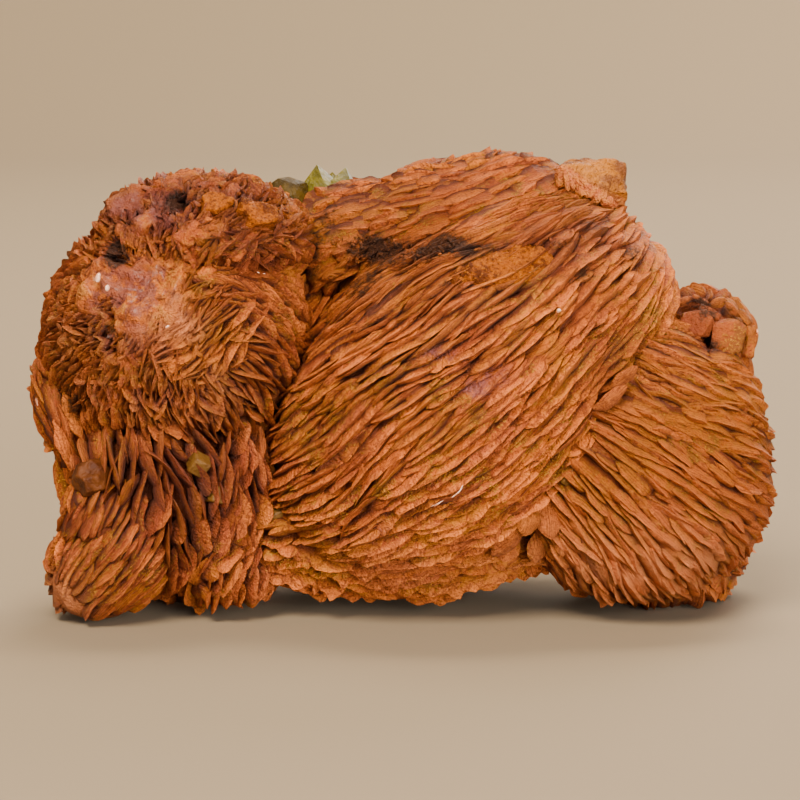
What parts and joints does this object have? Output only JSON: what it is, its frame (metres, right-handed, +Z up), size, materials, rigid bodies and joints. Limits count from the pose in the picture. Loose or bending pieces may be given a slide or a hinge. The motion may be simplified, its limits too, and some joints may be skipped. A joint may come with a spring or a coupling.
{
  "type": "barite and fluorite cluster",
  "caption": "Natural mineral specimen: rounded rosettes of thin reddish-brown barite blades, grown together, with small green fluorite crystals along the top edge and back.",
  "frame": {"origin": "middle of the bounding box in X and Y, on the surface that the cluster rests on", "axes": "+X along the length, to the right of the front face; +Y to the back; +Z up"},
  "size_m": [0.1091, 0.0576, 0.0676],
  "materials": {
    "barite": "matt to faintly pearly blades, reddish brown with ochre and dark stains",
    "fluorite_green": "clear yellow-green crystal with smooth faces",
    "fluorite_dark": "dark olive-green crystal, less clear",
    "fluorite_brown": "brown glassy crystal, worn round",
    "fluorite_pale": "small pale greenish cubes, dusty"
  },
  "bodies": {
    "root": {"barite_cluster": "barite", "fluorite_green": "fluorite_green", "fluorite_dark": "fluorite_dark", "fluorite_small": "fluorite_dark", "fluorite_brown": "fluorite_brown", "fluorite_chip_left": "fluorite_pale", "fluorite_chip_low": "fluorite_pale", "fluorite_chip_middle": "fluorite_pale", "fluorite_chip_right": "fluorite_pale"}
  },
  "joints": []
}
